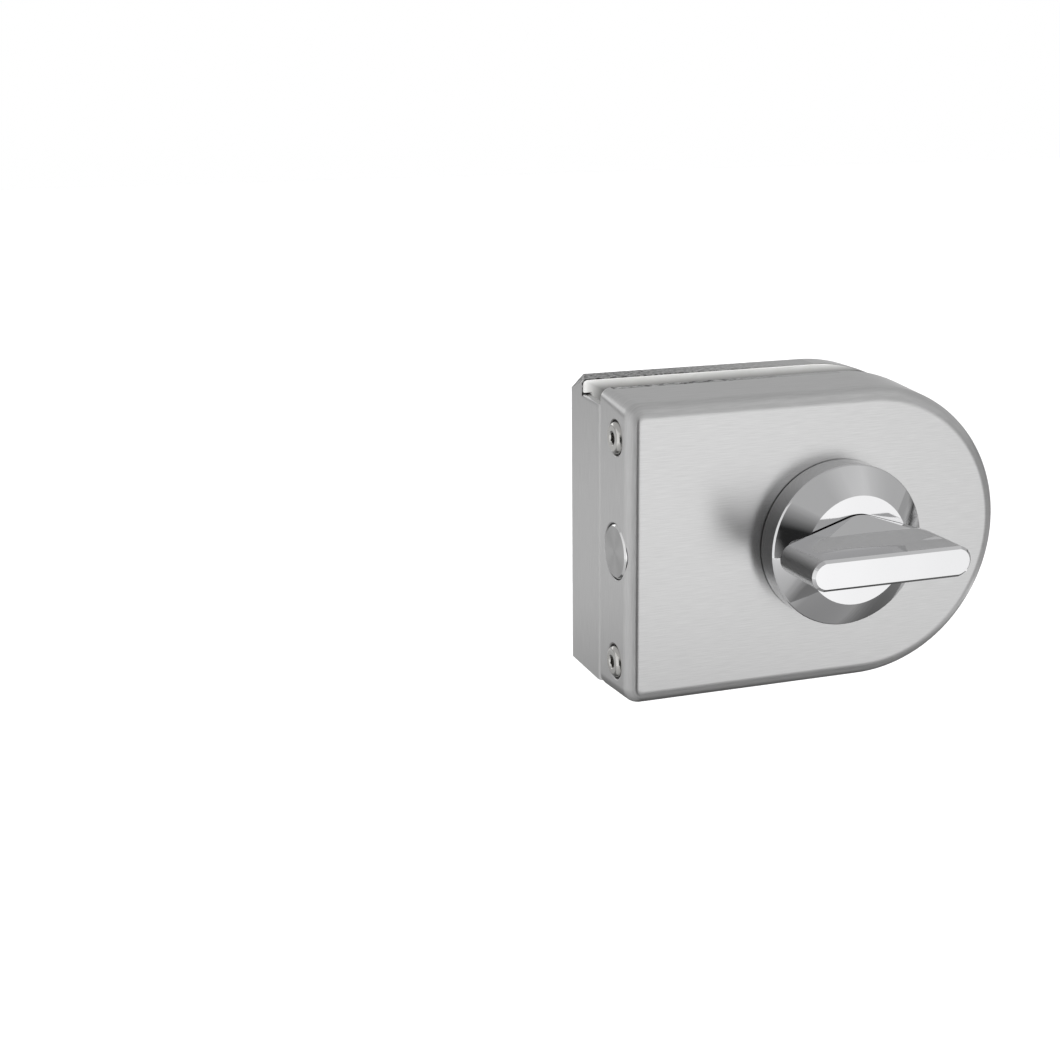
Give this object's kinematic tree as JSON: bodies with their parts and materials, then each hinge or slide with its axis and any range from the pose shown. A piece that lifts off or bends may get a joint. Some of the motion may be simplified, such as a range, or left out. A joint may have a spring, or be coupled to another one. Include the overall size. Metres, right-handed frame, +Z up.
{
  "type": "glass door lock",
  "caption": "Clamp-on lock case for a frameless glass door: a thumb turn on a conical rose throws a round bolt out of the straight lock edge.",
  "frame": {"origin": "centre of the bounding box on the flat lower side that the lock stands on", "axes": "+X from the lock edge to the round end, -Y out of the front towards the thumb turn, +Z up"},
  "size_m": [0.0922, 0.0604, 0.0684],
  "materials": {
    "brushed_stainless": "brushed",
    "polished_chrome": "polished",
    "turned_stainless": "satin",
    "zinc_casting": "matte",
    "plated_steel": "satin",
    "white_pvc": "matte",
    "nylon": "matte"
  },
  "bodies": {
    "lock_body": {"front_cover": "brushed_stainless", "rear_cover": "brushed_stainless", "rosette": "polished_chrome", "lock_case": "zinc_casting", "rear_base_plate": "zinc_casting", "front_gasket": "white_pvc", "rear_gasket": "white_pvc", "case_lid": "plated_steel", "wave_washer": "plated_steel", "detent_ball": "plated_steel", "detent_spring": "plated_steel", "detent_screw": "plated_steel", "cover_screw_upper": "plated_steel", "cover_screw_lower": "plated_steel", "rosette_screw_1": "plated_steel", "clamp_screw_1": "plated_steel", "glass_sleeve_1": "nylon", "rosette_screw_2": "plated_steel", "clamp_screw_2": "plated_steel", "glass_sleeve_2": "nylon", "rosette_screw_3": "plated_steel", "clamp_screw_3": "plated_steel", "glass_sleeve_3": "nylon", "lid_screw_1": "plated_steel", "lid_screw_2": "plated_steel", "lid_screw_3": "plated_steel", "lid_screw_4": "plated_steel"},
    "turn_and_crank": {"thumb_turn": "polished_chrome", "turn_grub_screw": "plated_steel", "turn_circlip": "plated_steel", "spindle": "plated_steel", "crank_hub": "zinc_casting", "drive_pin": "plated_steel"},
    "bolt_body": {"bolt": "turned_stainless"}
  },
  "joints": [
    {"name": "turn_hinge", "type": "hinge", "parent": "lock_body", "child": "turn_and_crank", "pos_m": [0.0038, -0.005, 0.0342], "axis": [0, -1, 0], "range_deg": [0, 90]},
    {"name": "bolt_slide", "type": "slide", "parent": "lock_body", "child": "bolt_body", "axis": [-1, 0, 0], "range_m": [0, 0.014]}
  ],
  "couplings": [
    {"joint": "bolt_slide", "follows": "turn_hinge", "m_per_rad": 0.0089126}
  ]
}
